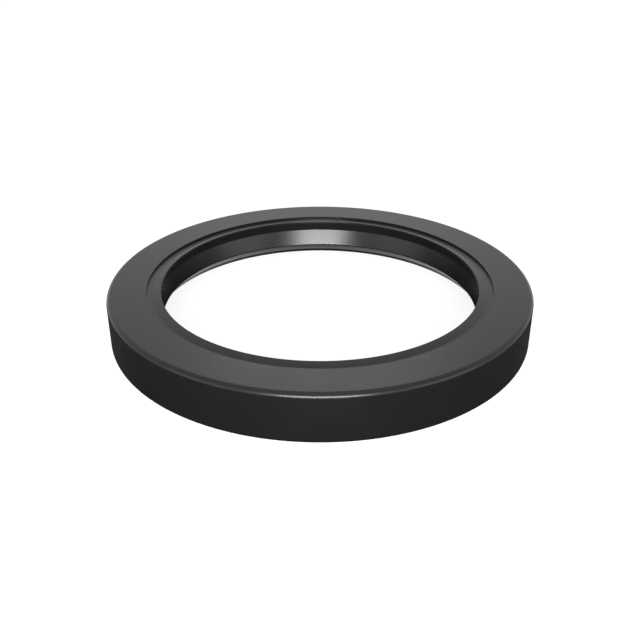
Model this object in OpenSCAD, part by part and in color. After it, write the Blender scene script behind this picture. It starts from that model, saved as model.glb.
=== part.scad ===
// Rotary shaft oil seal: a rubber-covered steel case with a spring-loaded main lip and a dust lip.
// The seal lies on its oil side, with the back face up and the shaft along +Z. Millimetres.
// Depths are measured down from the back face, which stays at the top.

/* [Fit] */
// Shaft diameter, which both lips are drawn at
shaft_d = 45; // [38:0.5:46]
// Outside diameter, pressed into the housing
outside_d = 60; // [59:0.5:70]
// Width between the back face and the rim
width = 7; // [6.8:0.1:10]

/* [Rubber cover] */
// Rubber on the outside of the case
side_cover = 0.8; // [0.6:0.05:1.1]
// Rubber on the back of the case
back_cover = 0.9; // [0.7:0.05:1]
// Rubber below the end of the case
end_cover = 0.8; // [0.5:0.05:1.2]
// Fillet at the back of the outside diameter
back_fillet = 0.65; // [0.3:0.05:1]
// Fillet that leads the seal into its housing
lead_fillet = 0.78; // [0.3:0.02:0.9]
// Draft of the rim's inner side
rim_draft = 0.25; // [0.1:0.05:0.4]

/* [Recess in the back face] */
// From the shaft to the step of the recess
recess_reach = 2.08; // [1.8:0.02:2.4]
// Depth of the recess
recess_depth = 0.3; // [0.2:0.05:0.4]

/* [Dust lip] */
// Gap between the shaft and the dust lip
dust_gap = 0.02; // [0.01:0.01:0.1]
// Length of the dust lip, from its tip to the floor of the recess
dust_length = 1.4; // [1.2:0.05:1.5]
// Angle by which the dust lip rises towards its tip
dust_angle = 12; // [6:1:14]
// Thickness of the dust lip at its tip
dust_tip = 0.5; // [0.45:0.01:0.6]
// Angle by which the end of the dust lip leans back towards the back face
dust_lean = 4; // [0:1:15]
// Rounding of the tip of the dust lip
dust_round = 0.1; // [0.05:0.01:0.15]

/* [Main lip] */
// Depth of the sealing edge
edge_depth = 4.1; // [4:0.05:4.4]
// Width of the band that touches the shaft
contact_band = 0.14; // [0.1:0.02:0.3]
// Depth at which the cone of the air side starts
air_depth = 1.81; // [1.6:0.05:2]
// Angle between the cone of the air side and the shaft
air_angle = 18.6; // [16:0.2:20]
// Angle between the cone of the oil side and the shaft
oil_angle = 46; // [44:0.5:50]
// Depth at which the cone of the oil side ends
toe_depth = 5.46; // [5.3:0.02:5.6]
// Depth of the toe's flat end
lip_depth = 6; // [5.85:0.05:6.2]
// How far the toe's end starts outside its cone
toe_offset = 0.3; // [0.2:0.05:0.4]
// Rounding of the toe
toe_round = 0.12; // [0.08:0.02:0.24]
// Thickness of the membrane that carries the lip
membrane = 0.95; // [0.7:0.05:1.1]
// Fillet between the membrane and the case
root_fillet = 0.6; // [0.3:0.05:0.8]

/* [Steel case] */
// Sheet thickness
sheet = 0.8; // [0.6:0.05:1]
// Inside radius of the bend
bend = 0.4; // [0.2:0.05:0.8]
// From the shaft to the inner edge of the flange
flange_reach = 2.75; // [2.6:0.05:3]
// Rubber under the inner edge of the flange
under_cover = 0.5; // [0.4:0.05:0.6]
// How far that rubber reaches along the flange
under_reach = 1.15; // [0.8:0.05:1.3]

/* [Garter spring] */
// Outside diameter of the coil
coil_d = 1.6; // [1.4:0.05:1.7]
// Wire diameter
wire_d = 0.45; // [0.4:0.05:0.6]
// Free space between two turns
turn_gap = 0.02; // [0.01:0.01:0.05]
// Gap between the coil and its groove
spring_gap = 0.03; // [0.01:0.01:0.05]
// Rubber between the shaft and the bottom of the groove
head = 1.2; // [1.1:0.05:1.35]
// Depth of the coil's centre, a little behind the sealing edge
spring_depth = 3.95; // [3.9:0.05:4.05]
// How far the toe reaches past the coil's centre, to hold it
toe_hold = 0.3; // [0.1:0.05:0.4]

/* [Hidden] */
$fn = 180;
rubber = [0.17, 0.17, 0.175];
steel = [0.55, 0.55, 0.54];
wire = [0.68, 0.68, 0.66];

shaft_r = shaft_d / 2;
outside_r = outside_d / 2;
case_r = outside_r - side_cover;
case_in_r = case_r - sheet;
case_end = width - end_cover;
flange_r = shaft_r + flange_reach;
flange_under = back_cover + sheet;
recess_r = shaft_r + recess_reach;
dust_r = shaft_r + dust_gap;
dust_root_r = dust_r + dust_length;
dust_top = recess_depth - dust_length * tan(dust_angle);
lean = dust_tip * tan(dust_lean);
band_end = edge_depth + contact_band;
pocket_r = shaft_r + (edge_depth - air_depth) * tan(air_angle);
pocket_top = dust_top + dust_tip + (pocket_r - dust_r) * tan(dust_angle);
toe_r = shaft_r + (toe_depth - band_end) * tan(oil_angle);
coil_r = coil_d / 2;
groove = coil_r + spring_gap;
spring_r = shaft_r + head + groove;
hold_r = spring_r + toe_hold;
membrane_r = pocket_r + membrane;
under_depth = flange_under + under_cover;
under_r = flange_r + under_reach;
turns = floor(PI * 2 * spring_r / (wire_d + turn_gap));
// Sides of one turn, and how deep the valley between two turns is as a share of the wire
coil_sides = 8;
valley_share = 0.4;
// Rounding of the small corners in the rubber
small_round = 0.12;
// A point this far inside the sheet keeps the rubber's outline clear of the sheet's faces
in_sheet = sheet / 2;

// The rubber with the case inside it, from the outside diameter inwards: radius, depth, rounding
seal_outline = [
    [outside_r, 0, back_fillet],
    [recess_r, 0, 0],
    [recess_r, recess_depth, 0],
    [dust_root_r, recess_depth, small_round],
    [dust_r + lean, dust_top + lean * tan(dust_angle), dust_round],
    [dust_r, dust_top + dust_tip, dust_round],
    [pocket_r, pocket_top, small_round],
    [pocket_r, air_depth, 0],
    [shaft_r, edge_depth, 0],
    [shaft_r, band_end, 0],
    [toe_r, toe_depth, 0],
    [toe_r + toe_offset, lip_depth, toe_round],
    [hold_r, lip_depth, toe_round],
    [hold_r, spring_depth, 0],
    [membrane_r, spring_depth, 0],
    [membrane_r, under_depth, root_fillet],
    [under_r, under_depth, small_round],
    [under_r, flange_under - in_sheet, 0],
    [case_in_r + in_sheet, flange_under - in_sheet, 0],
    [case_in_r + in_sheet, case_end - in_sheet, 0],
    [case_in_r, case_end, 0],
    [case_in_r + rim_draft, width, small_round],
    [outside_r, width, lead_fillet],
];

case_outline = [
    [case_r, back_cover, bend + sheet],
    [flange_r, back_cover, 0],
    [flange_r, flange_under, 0],
    [case_in_r, flange_under, bend],
    [case_in_r, case_end, 0],
    [case_r, case_end, 0],
];

function unit(v) = v / norm(v);
function turn(a, b) = a.x * b.y - a.y * b.x;

// The corner, where its arc starts and ends, and the arc's centre
function corner(before, here, after, r) =
    let (a = unit(before - here), b = unit(after - here), half = acos(a * b) / 2)
    [here, here + a * r / tan(half), here + unit(a + b) * r / sin(half), here + b * r / tan(half)];

// What lies between a sharp corner and its arc
module corner_waste(points, r) {
    difference() {
        polygon(points);
        translate(points[2]) circle(r);
    }
}

// A closed outline of [radius, depth, rounding], drawn with the back face at the top
module outline(profile) {
    points = [for (p = profile) [p[0], width - p[1]]];
    last = len(points) - 1;
    rounded = [for (i = [0:last]) if (profile[i][2] > 0)
        let (before = points[i == 0 ? last : i - 1], here = points[i], after = points[i == last ? 0 : i + 1])
        [corner(before, here, after, profile[i][2]), profile[i][2], turn(here - before, after - here)]];
    difference() {
        union() {
            polygon(points);
            for (c = rounded) if (c[2] < 0) corner_waste(c[0], c[1]);
        }
        for (c = rounded) if (c[2] > 0) corner_waste(c[0], c[1]);
    }
}

module seal_body() {
    color(rubber)
        rotate_extrude()
            difference() {
                outline(seal_outline);
                outline(case_outline);
                translate([spring_r, width - spring_depth]) circle(groove);
            }
}

module steel_case() {
    color(steel)
        rotate_extrude()
            outline(case_outline);
}

// A point that many sides along the wire as it winds round the ring, r away from the coil's centre
function on_coil(step, r) =
    let (around = 360 * step / coil_sides, along = 360 * step / coil_sides / turns)
    let (reach = spring_r + r * cos(around))
    [reach * cos(along), reach * sin(along), width - spring_depth + r * sin(around)];

function half_turn_on(p) =
    let (half = 180 / turns)
    [p.x * cos(half) - p.y * sin(half), p.x * sin(half) + p.y * cos(half), p.z];

// The close-wound coil, closed to a ring: the wire's crest winds round it, with a valley between turns
module garter_spring() {
    steps = turns * coil_sides;
    crest = [for (i = [0:steps - 1]) on_coil(i, coil_r)];
    valley = [for (i = [0:steps - 1]) half_turn_on(on_coil(i, coil_r - valley_share * wire_d))];
    sides = [for (i = [0:steps - 1])
        let (next = (i + 1) % steps, turn_on = (i + coil_sides) % steps, next_on = (i + 1 + coil_sides) % steps)
        each [
            [i, next, i + steps],
            [next, next + steps, i + steps],
            [i + steps, next + steps, turn_on],
            [next + steps, next_on, turn_on],
        ]];
    color(wire) polyhedron(concat(crest, valley), sides);
}

seal_body();
steel_case();
garter_spring();
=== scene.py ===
# Looks of a rubber-covered rotary shaft oil seal, lying on a pale floor with its back face up.
# Named lengths are in millimetres, apart from those of the lamps, which are in metres.
import math

import bmesh
import bpy
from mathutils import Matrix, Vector

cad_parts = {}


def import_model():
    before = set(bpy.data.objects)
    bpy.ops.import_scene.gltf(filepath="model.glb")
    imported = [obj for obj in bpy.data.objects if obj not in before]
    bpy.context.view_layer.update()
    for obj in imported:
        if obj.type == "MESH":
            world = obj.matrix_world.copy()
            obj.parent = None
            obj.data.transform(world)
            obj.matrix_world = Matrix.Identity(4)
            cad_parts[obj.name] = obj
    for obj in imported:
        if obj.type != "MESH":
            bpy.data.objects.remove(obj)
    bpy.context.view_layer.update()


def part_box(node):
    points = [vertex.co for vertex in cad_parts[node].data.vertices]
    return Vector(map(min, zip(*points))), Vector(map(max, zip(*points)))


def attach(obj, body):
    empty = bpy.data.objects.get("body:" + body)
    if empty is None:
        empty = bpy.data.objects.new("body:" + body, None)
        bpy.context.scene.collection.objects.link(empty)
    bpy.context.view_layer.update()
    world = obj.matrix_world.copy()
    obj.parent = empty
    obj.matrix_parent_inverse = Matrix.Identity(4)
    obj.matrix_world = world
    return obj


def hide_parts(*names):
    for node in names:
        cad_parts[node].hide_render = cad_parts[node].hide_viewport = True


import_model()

MM = 0.001

# The seal's main sizes come from the frame. Depths are measured down from the back face
_, seal_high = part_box("seal_body")
case_low, case_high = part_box("steel_case")
coil_low, coil_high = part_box("garter_spring")
OUTSIDE_R = seal_high.x / MM
WIDTH = seal_high.z / MM
CASE_R = case_high.x / MM
CASE_TOP = WIDTH - case_high.z / MM
CASE_END = WIDTH - case_low.z / MM
COIL_R = (coil_high.z - coil_low.z) / 2 / MM
COIL_DEPTH = WIDTH - (coil_high.z + coil_low.z) / 2 / MM
COIL_RING_R = coil_high.x / MM - COIL_R

# Sizes of the rubber, as in the part
SHAFT_R = 22.5
BACK_FILLET = 0.65
LEAD_FILLET = 0.78
RIM_DRAFT = 0.25
RECESS_REACH = 2.08
RECESS_DEPTH = 0.3
DUST_GAP = 0.02
DUST_LENGTH = 1.4
DUST_ANGLE = math.radians(12)
DUST_TIP = 0.5
DUST_LEAN_ANGLE = math.radians(4)
DUST_ROUND = 0.1
EDGE_DEPTH = 4.1
CONTACT_BAND = 0.14
AIR_DEPTH = 1.81
AIR_ANGLE = math.radians(18.6)
OIL_ANGLE = math.radians(46)
TOE_DEPTH = 5.46
LIP_DEPTH = 6.0
TOE_OFFSET = 0.3
TOE_ROUND = 0.12
TOE_HOLD = 0.3
MEMBRANE = 0.95
ROOT_FILLET = 0.6
SMALL_ROUND = 0.12

# Sizes of the steel case and of the rubber round its flange
SHEET = 0.8
BEND = 0.4
FLANGE_REACH = 2.75
UNDER_COVER = 0.5
UNDER_REACH = 1.15

# Sizes of the spring and its groove
WIRE_D = 0.45
TURN_GAP = 0.02
SPRING_GAP = 0.03

# Radii, depths and slopes that follow
RECESS_R = SHAFT_R + RECESS_REACH
DUST_R = SHAFT_R + DUST_GAP
DUST_SLOPE = math.tan(DUST_ANGLE)
DUST_LEAN = DUST_TIP * math.tan(DUST_LEAN_ANGLE)
BAND_END = EDGE_DEPTH + CONTACT_BAND
AIR_SLOPE = math.tan(AIR_ANGLE)
OIL_SLOPE = math.tan(OIL_ANGLE)
POCKET_R = SHAFT_R + (EDGE_DEPTH - AIR_DEPTH) * AIR_SLOPE
MEMBRANE_R = POCKET_R + MEMBRANE
CASE_IN_R = CASE_R - SHEET
FLANGE_R = SHAFT_R + FLANGE_REACH
FLANGE_UNDER = CASE_TOP + SHEET
GROOVE_R = COIL_R + SPRING_GAP
TURN_PITCH = WIRE_D + TURN_GAP

# How finely the pieces are made
RING_STEPS = 512
ARC_STEP = math.radians(10)
SHARP_ANGLE = math.radians(14)
TURN_STEPS = 16
WIRE_SIDES = 8

# Colours, as parts of white
RUBBER_DARK = (0.005, 0.005, 0.005)
RUBBER_LIGHT = (0.007, 0.007, 0.007)
CASE_COLOUR = (0.24, 0.24, 0.235)
WIRE_COLOUR = (0.45, 0.45, 0.44)
STEEL_DARKENING = 0.88

# The smoothest and the roughest spots, and how strongly the rubber reflects
RUBBER_ROUGHNESS = (0.26, 0.3)
CASE_ROUGHNESS = (0.42, 0.6)
WIRE_ROUGHNESS = (0.28, 0.4)
RUBBER_SPECULAR = 0.28

# Mottles and grains, each with its noise's scale for places in metres and its detail, and the grains' depths
RUBBER_MOTTLE = (160.0, 4.0)
RUBBER_GRAIN = (9000.0, 3.0)
RUBBER_GRAIN_DEPTH = 0.003
STEEL_MOTTLE = (1500.0, 4.0)
CASE_GRAIN = (2500.0, 5.0)
WIRE_GRAIN = (6000.0, 5.0)
STEEL_GRAIN_DEPTH = 0.006
# The roughness of every noise, and the values from which a mottle goes from smooth to rough
NOISE_ROUGHNESS = 0.6
NOISE_RANGE = (0.3, 0.7)

# The camera, found from the outline of the seal in the photograph. From the middle of the top face it stands
# back by its distance, along the line of sight, and up by its rise, across that line
FRAME_PX = 640
FOCAL_PX = 842.13
SENSOR = 36.0
CAMERA_DISTANCE = 120.85
CAMERA_TILT = math.radians(28.261)
CAMERA_RISE = -5.83
NEAR_CLIP = 5.0
FAR_CLIP = 20000.0

# Soft lamps: name, azimuth from the camera's side to the right and elevation in degrees, then distance,
# width and height in metres, and power in watts
LAMPS = [
    ("key", 0, 12, 0.2, 0.135, 0.049, 0.82),
    ("left", -60, 10, 0.8, 0.52, 0.28, 0.75),
    ("right", 60, 10, 0.8, 0.52, 0.28, 1.1),
    ("back", 180, 34, 0.8, 0.25, 0.2, 0.24),
    ("top", 0, 89.9, 0.8, 0.46, 0.46, 0.3),
]
SKY = 0.4

# The floor: its half width, how far it lies under the seal, and its glow and tone where it is white
FLOOR_HALF = 3000.0
FLOOR_DROP = 0.01
FLOOR_GLOW = 0.85
FLOOR_PALE = 0.4
# The floor is white to the camera, and in reflections from this radius outwards. Nearer it is dim in them:
# a painted shade, seen only in reflections, which keeps the seal's side dark
FLOOR_SHADE_R = 50.0
FLOOR_PAINTED_SHADE = 0.08
# Under the lip a ring of this middle radius and half width glows to the seal, unseen by the camera: a
# painted reflection
PAINTED_REFLECTION_RING_R = 24.6
PAINTED_REFLECTION_RING_HALF = 0.62
PAINTED_REFLECTION_GLOW = 1.0


def rotated(v, angle):
    """A flat vector turned anticlockwise."""
    c, s = math.cos(angle), math.sin(angle)
    return Vector((v.x * c - v.y * s, v.x * s + v.y * c))


def rounded(outline):
    """Points of a closed outline of (radius, depth, rounding), with each rounding as an arc."""
    made = []
    for i, (r, d, size) in enumerate(outline):
        here = Vector((r, WIDTH - d))
        if not size:
            made.append(here)
            continue
        before = Vector((outline[i - 1][0], WIDTH - outline[i - 1][1]))
        after = outline[(i + 1) % len(outline)]
        after = Vector((after[0], WIDTH - after[1]))
        a, b = (before - here).normalized(), (after - here).normalized()
        half = a.angle(b) / 2
        centre = here + (a + b).normalized() * size / math.sin(half)
        start = here + a * size / math.tan(half) - centre
        sweep = start.angle_signed(here + b * size / math.tan(half) - centre)
        steps = math.ceil(abs(sweep) / ARC_STEP)
        made += [centre + rotated(start, -sweep * k / steps) for k in range(steps + 1)]
    return made


def finish_mesh(name, bm):
    """A smooth object in the scene from a finished bmesh."""
    bmesh.ops.recalc_face_normals(bm, faces=bm.faces)
    mesh = bpy.data.meshes.new(name)
    bm.to_mesh(mesh)
    bm.free()
    mesh.shade_smooth()
    made = bpy.data.objects.new(name, mesh)
    bpy.context.scene.collection.objects.link(made)
    return made


def turned(name, points):
    """A ring turned from its section's points, radius and height in millimetres."""
    bm = bmesh.new()
    rings = []
    for k in range(RING_STEPS):
        c, s = math.cos(math.tau * k / RING_STEPS), math.sin(math.tau * k / RING_STEPS)
        rings.append([bm.verts.new((p.x * c * MM, p.x * s * MM, p.y * MM)) for p in points])
    for k, ring in enumerate(rings):
        after = rings[(k + 1) % RING_STEPS]
        for i in range(len(points)):
            bm.faces.new((ring[i - 1], ring[i], after[i], after[i - 1]))
    made = finish_mesh(name, bm)
    made.data.set_sharp_from_angle(angle=SHARP_ANGLE)
    weighted = made.modifiers.new("weighted_normals", "WEIGHTED_NORMAL")
    weighted.keep_sharp = True
    return made


def groove_points():
    """The groove behind the main lip, from the toe's side up to the membrane."""
    start = math.atan2(-math.sqrt(GROOVE_R ** 2 - TOE_HOLD ** 2), TOE_HOLD)
    across = MEMBRANE_R - COIL_RING_R
    end = math.atan2(math.sqrt(GROOVE_R ** 2 - across ** 2), across) - math.tau
    steps = math.ceil((start - end) / ARC_STEP)
    turn = [start + (end - start) * k / steps for k in range(steps + 1)]
    return [(COIL_RING_R + GROOVE_R * math.cos(t), COIL_DEPTH - GROOVE_R * math.sin(t), 0) for t in turn]


def rubber_section():
    """The rubber, from the back face round its opening, down the lips, and back up round the case."""
    dust_top = RECESS_DEPTH - DUST_LENGTH * DUST_SLOPE
    pocket_top = dust_top + DUST_TIP + (POCKET_R - DUST_R) * DUST_SLOPE
    toe_r = SHAFT_R + (TOE_DEPTH - BAND_END) * OIL_SLOPE
    under_depth = FLANGE_UNDER + UNDER_COVER
    under_r = FLANGE_R + UNDER_REACH
    return rounded([
        (OUTSIDE_R, 0, BACK_FILLET),
        (RECESS_R, 0, 0),
        (RECESS_R, RECESS_DEPTH, 0),
        (DUST_R + DUST_LENGTH, RECESS_DEPTH, SMALL_ROUND),
        (DUST_R + DUST_LEAN, dust_top + DUST_LEAN * DUST_SLOPE, DUST_ROUND),
        (DUST_R, dust_top + DUST_TIP, DUST_ROUND),
        (POCKET_R, pocket_top, SMALL_ROUND),
        (POCKET_R, AIR_DEPTH, 0),
        (SHAFT_R, EDGE_DEPTH, 0),
        (SHAFT_R, BAND_END, 0),
        (toe_r, TOE_DEPTH, 0),
        (toe_r + TOE_OFFSET, LIP_DEPTH, TOE_ROUND),
        (COIL_RING_R + TOE_HOLD, LIP_DEPTH, TOE_ROUND),
        *groove_points(),
        (MEMBRANE_R, under_depth, ROOT_FILLET),
        (under_r, under_depth, SMALL_ROUND),
        (under_r, FLANGE_UNDER, 0),
        (FLANGE_R, FLANGE_UNDER, 0),
        (FLANGE_R, CASE_TOP, 0),
        (CASE_R, CASE_TOP, BEND + SHEET),
        (CASE_R, CASE_END, 0),
        (CASE_IN_R, CASE_END, 0),
        (CASE_IN_R + RIM_DRAFT, WIDTH, SMALL_ROUND),
        (OUTSIDE_R, WIDTH, LEAD_FILLET),
    ])


def case_section():
    """The pressed case: a flange and a side of one sheet."""
    return rounded([
        (CASE_R, CASE_TOP, BEND + SHEET),
        (FLANGE_R, CASE_TOP, 0),
        (FLANGE_R, FLANGE_UNDER, 0),
        (CASE_IN_R, FLANGE_UNDER, BEND),
        (CASE_IN_R, CASE_END, 0),
        (CASE_R, CASE_END, 0),
    ])


def spring_coil(name):
    """The close-wound wire, its ends joined: a helix round the ring that the coil's centre makes."""
    turns = math.floor(math.tau * COIL_RING_R / TURN_PITCH)
    mean_r = COIL_R - WIRE_D / 2
    steps = turns * TURN_STEPS
    centre_height = WIDTH - COIL_DEPTH

    def at(step):
        around, along = math.tau * step / TURN_STEPS, math.tau * step / steps
        out = Vector((math.cos(along), math.sin(along), 0))
        away = out * math.cos(around) + Vector((0, 0, 1)) * math.sin(around)
        return out * COIL_RING_R + Vector((0, 0, centre_height)) + away * mean_r, away

    bm = bmesh.new()
    rings = []
    for step in range(steps):
        here, away = at(step)
        ahead = (at(step + 0.5)[0] - at(step - 0.5)[0]).normalized()
        side = ahead.cross(away)
        ring = []
        for k in range(WIRE_SIDES):
            t = math.tau * k / WIRE_SIDES
            p = here + (away * math.cos(t) + side * math.sin(t)) * WIRE_D / 2
            ring.append(bm.verts.new(p * MM))
        rings.append(ring)
    for step, ring in enumerate(rings):
        after = rings[(step + 1) % steps]
        for k in range(WIRE_SIDES):
            bm.faces.new((ring[k - 1], ring[k], after[k], after[k - 1]))
    return finish_mesh(name, bm)


def new_material(name):
    """A new material, its nodes and links, and its main shader."""
    material = bpy.data.materials.new(name)
    material.use_nodes = True
    nodes, links = material.node_tree.nodes, material.node_tree.links
    return material, nodes, links, nodes["Principled BSDF"]


def feed(links, socket, value):
    """Sets a socket to a number, or links another socket to it."""
    if isinstance(value, (int, float)):
        socket.default_value = value
    else:
        links.new(value, socket)


def calculate(nodes, links, operation, *values):
    """The result of one operation on sockets and numbers."""
    node = nodes.new("ShaderNodeMath")
    node.operation = operation
    for socket, value in zip(node.inputs, values):
        feed(links, socket, value)
    return node.outputs["Value"]


def spread(nodes, links, value, to, across=NOISE_RANGE):
    """Maps a value from one range to another, by default from a mottle's."""
    node = nodes.new("ShaderNodeMapRange")
    links.new(value, node.inputs["Value"])
    for socket, limit in zip(("From Min", "From Max", "To Min", "To Max"), (*across, *to)):
        feed(links, node.inputs[socket], limit)
    return node.outputs["Result"]


def noise(nodes, links, scale, detail):
    """A noise that is fixed to the piece."""
    node = nodes.new("ShaderNodeTexNoise")
    node.inputs["Scale"].default_value = scale
    node.inputs["Detail"].default_value = detail
    node.inputs["Roughness"].default_value = NOISE_ROUGHNESS
    links.new(nodes.new("ShaderNodeTexCoord").outputs["Object"], node.inputs["Vector"])
    return node.outputs["Fac"]


def mottled(name, dark, light, mottle, roughness, grain, grain_depth):
    """A material with a mottle in its colour and its roughness, and a fine grain."""
    material, nodes, links, shader = new_material(name)
    patches = noise(nodes, links, *mottle)
    tone = nodes.new("ShaderNodeMixRGB")
    tone.inputs["Color1"].default_value = (*dark, 1)
    tone.inputs["Color2"].default_value = (*light, 1)
    links.new(patches, tone.inputs["Fac"])
    links.new(tone.outputs["Color"], shader.inputs["Base Color"])
    links.new(spread(nodes, links, patches, roughness), shader.inputs["Roughness"])
    bump = nodes.new("ShaderNodeBump")
    bump.inputs["Strength"].default_value = 1.0
    bump.inputs["Distance"].default_value = grain_depth * MM
    links.new(noise(nodes, links, *grain), bump.inputs["Height"])
    links.new(bump.outputs["Normal"], shader.inputs["Normal"])
    return material, shader


def rubber_material():
    """Black moulded rubber with a satin sheen and a very fine grain."""
    material, shader = mottled("moulded_rubber", RUBBER_DARK, RUBBER_LIGHT, RUBBER_MOTTLE, RUBBER_ROUGHNESS,
                               RUBBER_GRAIN, RUBBER_GRAIN_DEPTH)
    shader.inputs["Specular IOR Level"].default_value = RUBBER_SPECULAR
    return material


def steel_material(name, colour, roughness, grain):
    """Bare steel, a little darker in patches."""
    dark = [c * STEEL_DARKENING for c in colour]
    material, shader = mottled(name, dark, colour, STEEL_MOTTLE, roughness, grain, STEEL_GRAIN_DEPTH)
    shader.inputs["Metallic"].default_value = 1.0
    return material


def dress(piece, material, node):
    """Gives a piece its material, and puts it in the place of a node of the frame."""
    piece.data.materials.append(material)
    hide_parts(node)
    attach(piece, "root")


def area_light(name, azimuth, elevation, distance, width, height, power):
    """A soft lamp that looks at the seal. Azimuth 0 is on the camera's side, and grows to the right."""
    data = bpy.data.lights.new(name, "AREA")
    data.shape = "RECTANGLE"
    data.size, data.size_y = width, height
    data.energy = power
    lamp = bpy.data.objects.new(name, data)
    a, e = math.radians(azimuth), math.radians(elevation)
    away = Vector((math.sin(a) * math.cos(e), -math.cos(a) * math.cos(e), math.sin(e)))
    lamp.location = away * distance + Vector((0, 0, WIDTH * MM))
    lamp.rotation_euler = (-away).to_track_quat("-Z", "Y").to_euler()
    bpy.context.scene.collection.objects.link(lamp)


def camera():
    """The camera in front of the seal, tilted down at it."""
    data = bpy.data.cameras.new("camera")
    data.sensor_width = SENSOR
    data.lens = SENSOR * FOCAL_PX / FRAME_PX
    data.clip_start = NEAR_CLIP * MM
    data.clip_end = FAR_CLIP * MM
    made = bpy.data.objects.new("camera", data)
    look = Vector((0, math.cos(CAMERA_TILT), -math.sin(CAMERA_TILT)))
    up = Vector((0, math.sin(CAMERA_TILT), math.cos(CAMERA_TILT)))
    top_centre = Vector((0, 0, WIDTH))
    made.location = (top_centre - look * CAMERA_DISTANCE + up * CAMERA_RISE) * MM
    made.rotation_euler = (math.pi / 2 - CAMERA_TILT, 0, 0)
    bpy.context.scene.collection.objects.link(made)
    bpy.context.scene.camera = made


def seen(nodes, links, *kinds):
    """1 for rays of these kinds, and 0 for all others."""
    path = nodes.new("ShaderNodeLightPath")
    found = path.outputs[kinds[0]]
    for kind in kinds[1:]:
        found = calculate(nodes, links, "MAXIMUM", found, path.outputs[kind])
    return found


def floor_radius(nodes, links):
    """How far a point of the floor lies from the seal's middle."""
    radius = nodes.new("ShaderNodeVectorMath")
    radius.operation = "LENGTH"
    links.new(nodes.new("ShaderNodeNewGeometry").outputs["Position"], radius.inputs[0])
    return radius.outputs["Value"]


def floor_material():
    """White to the camera, with the seal's soft shadow on it. In reflections it is dim near the seal, a
    painted shade, except in the ring under the lip, which glows as a painted reflection, and white further
    out. It is clear from below."""
    material, nodes, links, shader = new_material("pale_floor")
    shader.inputs["Specular IOR Level"].default_value = 0.0
    shader.inputs["Emission Color"].default_value = (1, 1, 1, 1)
    radius = floor_radius(nodes, links)
    far = calculate(nodes, links, "GREATER_THAN", radius, FLOOR_SHADE_R * MM)
    reflected = calculate(nodes, links, "MULTIPLY", seen(nodes, links, "Is Glossy Ray"), far)
    looked_at = seen(nodes, links, "Is Camera Ray", "Is Transmission Ray")
    white_to = calculate(nodes, links, "MAXIMUM", looked_at, reflected)
    # Painted shade: near the seal the floor is dim to every ray but the camera's
    tone = spread(nodes, links, white_to, (FLOOR_PAINTED_SHADE, FLOOR_PALE), (0, 1))
    links.new(tone, shader.inputs["Base Color"])
    # Painted reflection: a ring under the lip glows, though it is no lamp, to every ray but the camera's
    painted_ring_mask = calculate(nodes, links, "COMPARE", radius, PAINTED_REFLECTION_RING_R * MM, PAINTED_REFLECTION_RING_HALF * MM)
    painted_ring_glow = calculate(nodes, links, "MULTIPLY", painted_ring_mask, PAINTED_REFLECTION_GLOW)
    glow = spread(nodes, links, white_to, (painted_ring_glow, FLOOR_GLOW), (0, 1))
    links.new(glow, shader.inputs["Emission Strength"])
    clear = nodes.new("ShaderNodeBsdfTransparent")
    mix = nodes.new("ShaderNodeMixShader")
    links.new(nodes.new("ShaderNodeNewGeometry").outputs["Backfacing"], mix.inputs["Fac"])
    links.new(shader.outputs["BSDF"], mix.inputs[1])
    links.new(clear.outputs["BSDF"], mix.inputs[2])
    links.new(mix.outputs["Shader"], nodes["Material Output"].inputs["Surface"])
    return material


def floor():
    """A wide level floor, just under the seal."""
    mesh = bpy.data.meshes.new("floor")
    h, z = FLOOR_HALF * MM, -FLOOR_DROP * MM
    mesh.from_pydata([(-h, -h, z), (h, -h, z), (h, h, z), (-h, h, z)], [], [(0, 1, 2, 3)])
    mesh.materials.append(floor_material())
    made = bpy.data.objects.new("floor", mesh)
    bpy.context.scene.collection.objects.link(made)


def world():
    """An even pale sky, white to the camera, in reflections and through glass."""
    made = bpy.data.worlds.new("studio")
    bpy.context.scene.world = made
    made.use_nodes = True
    nodes, links = made.node_tree.nodes, made.node_tree.links
    sky = nodes["Background"]
    sky.inputs["Color"].default_value = (SKY, SKY, SKY, 1)
    white = nodes.new("ShaderNodeBackground")
    white.inputs["Color"].default_value = (1, 1, 1, 1)
    mix = nodes.new("ShaderNodeMixShader")
    white_to = seen(nodes, links, "Is Camera Ray", "Is Glossy Ray", "Is Transmission Ray")
    links.new(white_to, mix.inputs["Fac"])
    links.new(sky.outputs["Background"], mix.inputs[1])
    links.new(white.outputs["Background"], mix.inputs[2])
    links.new(mix.outputs["Shader"], nodes["World Output"].inputs["Surface"])


dress(turned("rubber_seal", rubber_section()), rubber_material(), "seal_body")
case_steel = steel_material("phosphated_steel", CASE_COLOUR, CASE_ROUGHNESS, CASE_GRAIN)
dress(turned("pressed_case", case_section()), case_steel, "steel_case")
wire_steel = steel_material("spring_wire", WIRE_COLOUR, WIRE_ROUGHNESS, WIRE_GRAIN)
dress(spring_coil("spring_coil"), wire_steel, "garter_spring")

camera()
floor()
world()
for lamp in LAMPS:
    area_light(*lamp)

bpy.context.scene.view_settings.view_transform = "Standard"
